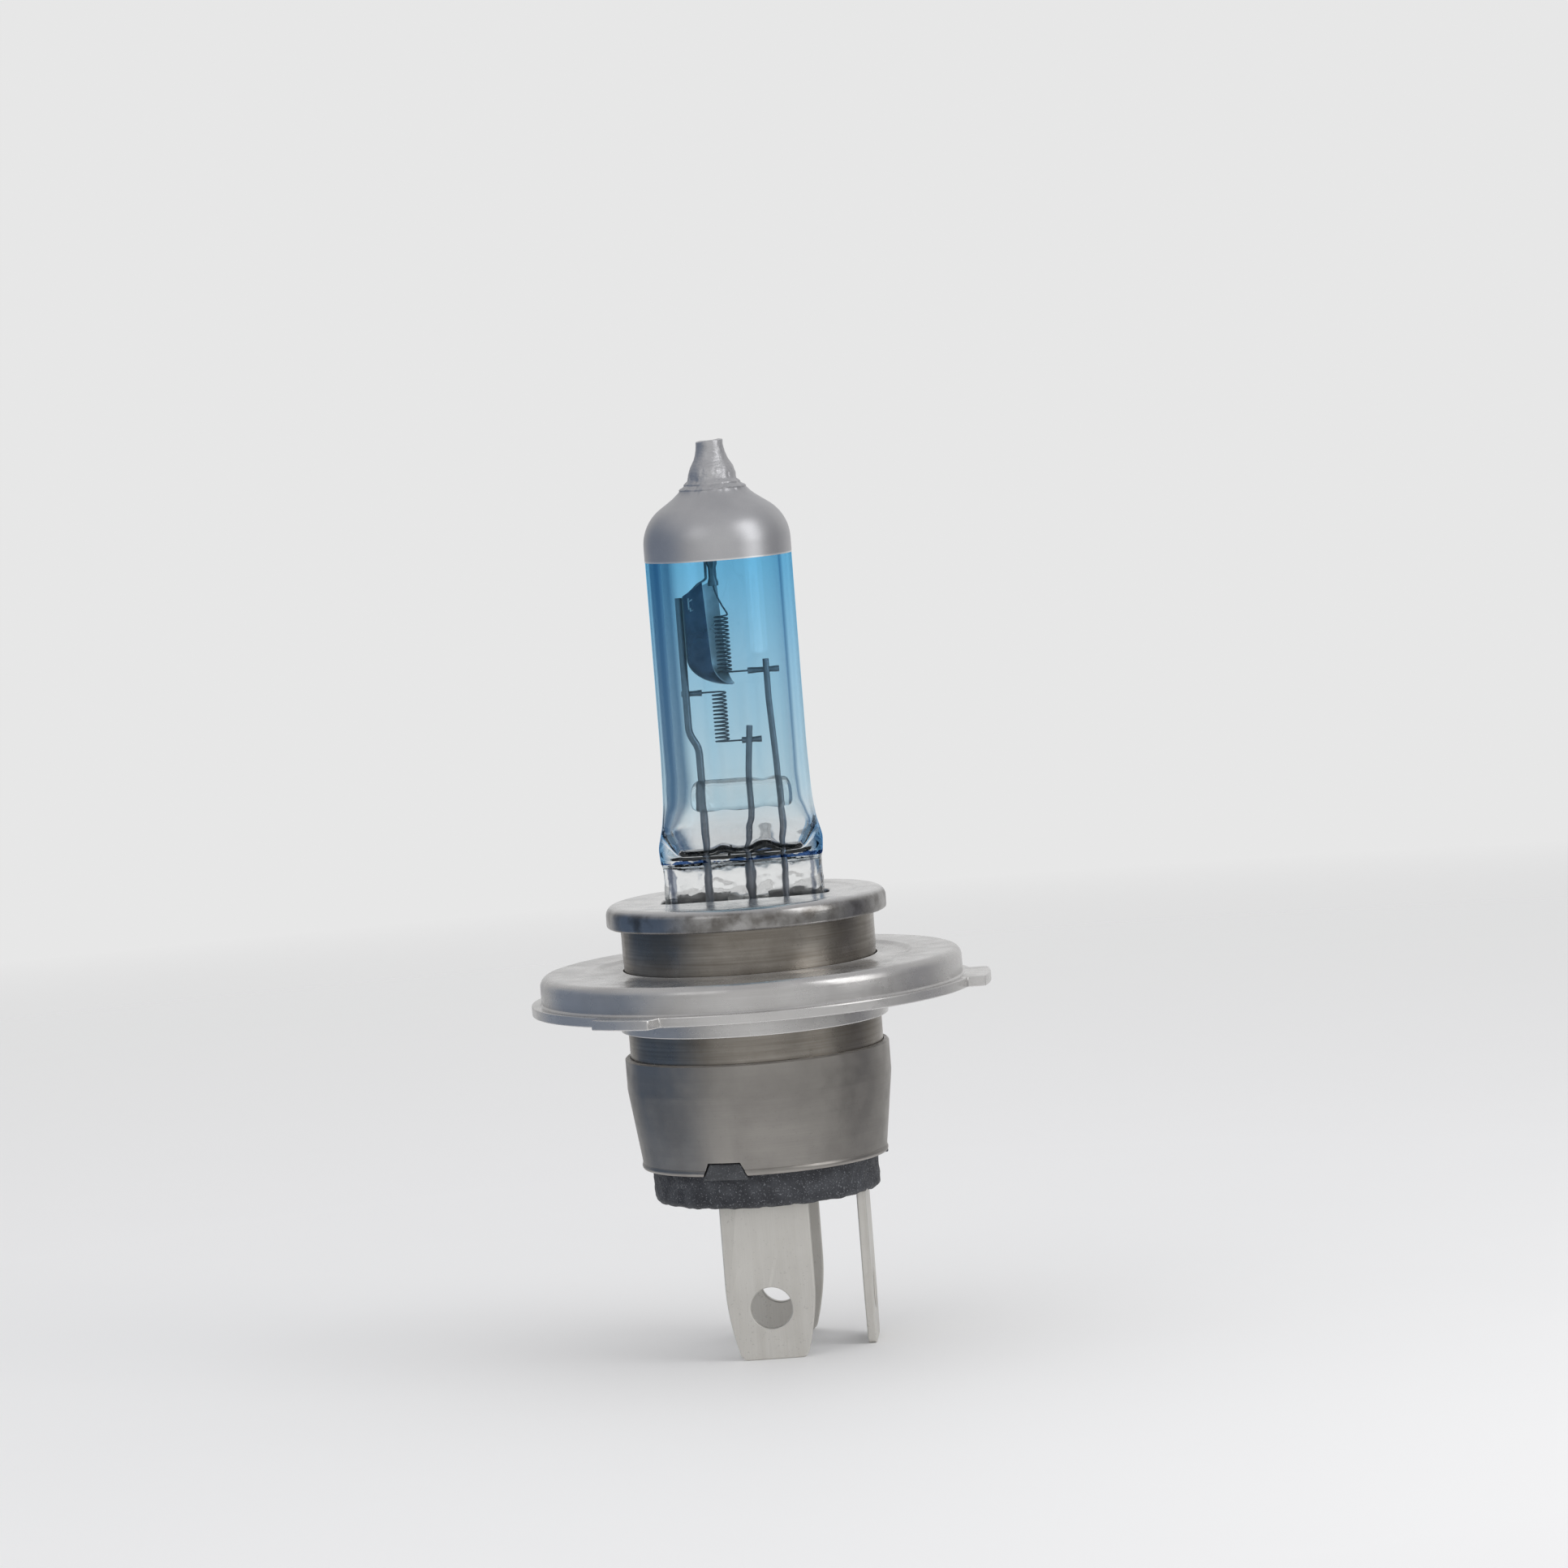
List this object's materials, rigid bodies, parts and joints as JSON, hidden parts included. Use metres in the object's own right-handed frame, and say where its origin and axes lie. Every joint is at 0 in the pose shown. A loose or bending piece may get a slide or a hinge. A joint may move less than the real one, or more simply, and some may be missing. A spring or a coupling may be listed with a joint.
{
  "type": "headlight bulb",
  "caption": "Halogen headlight bulb with two filaments, a blue-coated glass envelope with a silver tip, a three-lug pre-focus flange and flat blade terminals.",
  "frame": {"origin": "on the reference axis, in the plane of the three lugs' seating faces", "axes": "+Z along the reference axis towards the glass tip; +X through the middle of the wide lug and the low-beam blade, which is up when fitted; the shield is on the -X side and the other two blades are at +Y and -Y"},
  "size_m": [0.0414, 0.0398, 0.082],
  "materials": {
    "clear_glass": "gloss",
    "blue_film": "gloss",
    "bridge_glass": "gloss",
    "silver_paint": "satin",
    "molybdenum": "satin",
    "tungsten": "matte",
    "bright_steel": "satin",
    "base_steel": "satin",
    "black_plastic": "matte",
    "tinned_brass": "satin"
  },
  "bodies": {
    "root": {"glass_envelope": "clear_glass", "blue_filter_coating": "blue_film", "silver_tip_coating": "silver_paint", "glass_bridge": "bridge_glass", "common_support_wire": "molybdenum", "high_beam_support_wire": "molybdenum", "low_beam_support_wire": "molybdenum", "low_beam_shield": "molybdenum", "shield_tongue": "molybdenum", "low_beam_filament": "tungsten", "high_beam_filament": "tungsten", "low_beam_front_leg_sleeve": "molybdenum", "low_beam_rear_leg_sleeve": "molybdenum", "high_beam_front_leg_sleeve": "molybdenum", "high_beam_rear_leg_sleeve": "molybdenum", "pinch_clamp": "bright_steel", "cap_plate": "bright_steel", "inner_sleeve": "base_steel", "focusing_flange": "bright_steel", "base_shell": "base_steel", "insulator": "black_plastic", "common_blade": "tinned_brass", "high_beam_blade": "tinned_brass", "low_beam_blade": "tinned_brass", "common_lead": "tinned_brass", "high_beam_lead": "tinned_brass", "low_beam_lead": "tinned_brass", "lead_crimp_sleeves": "bright_steel"}
  },
  "joints": []
}
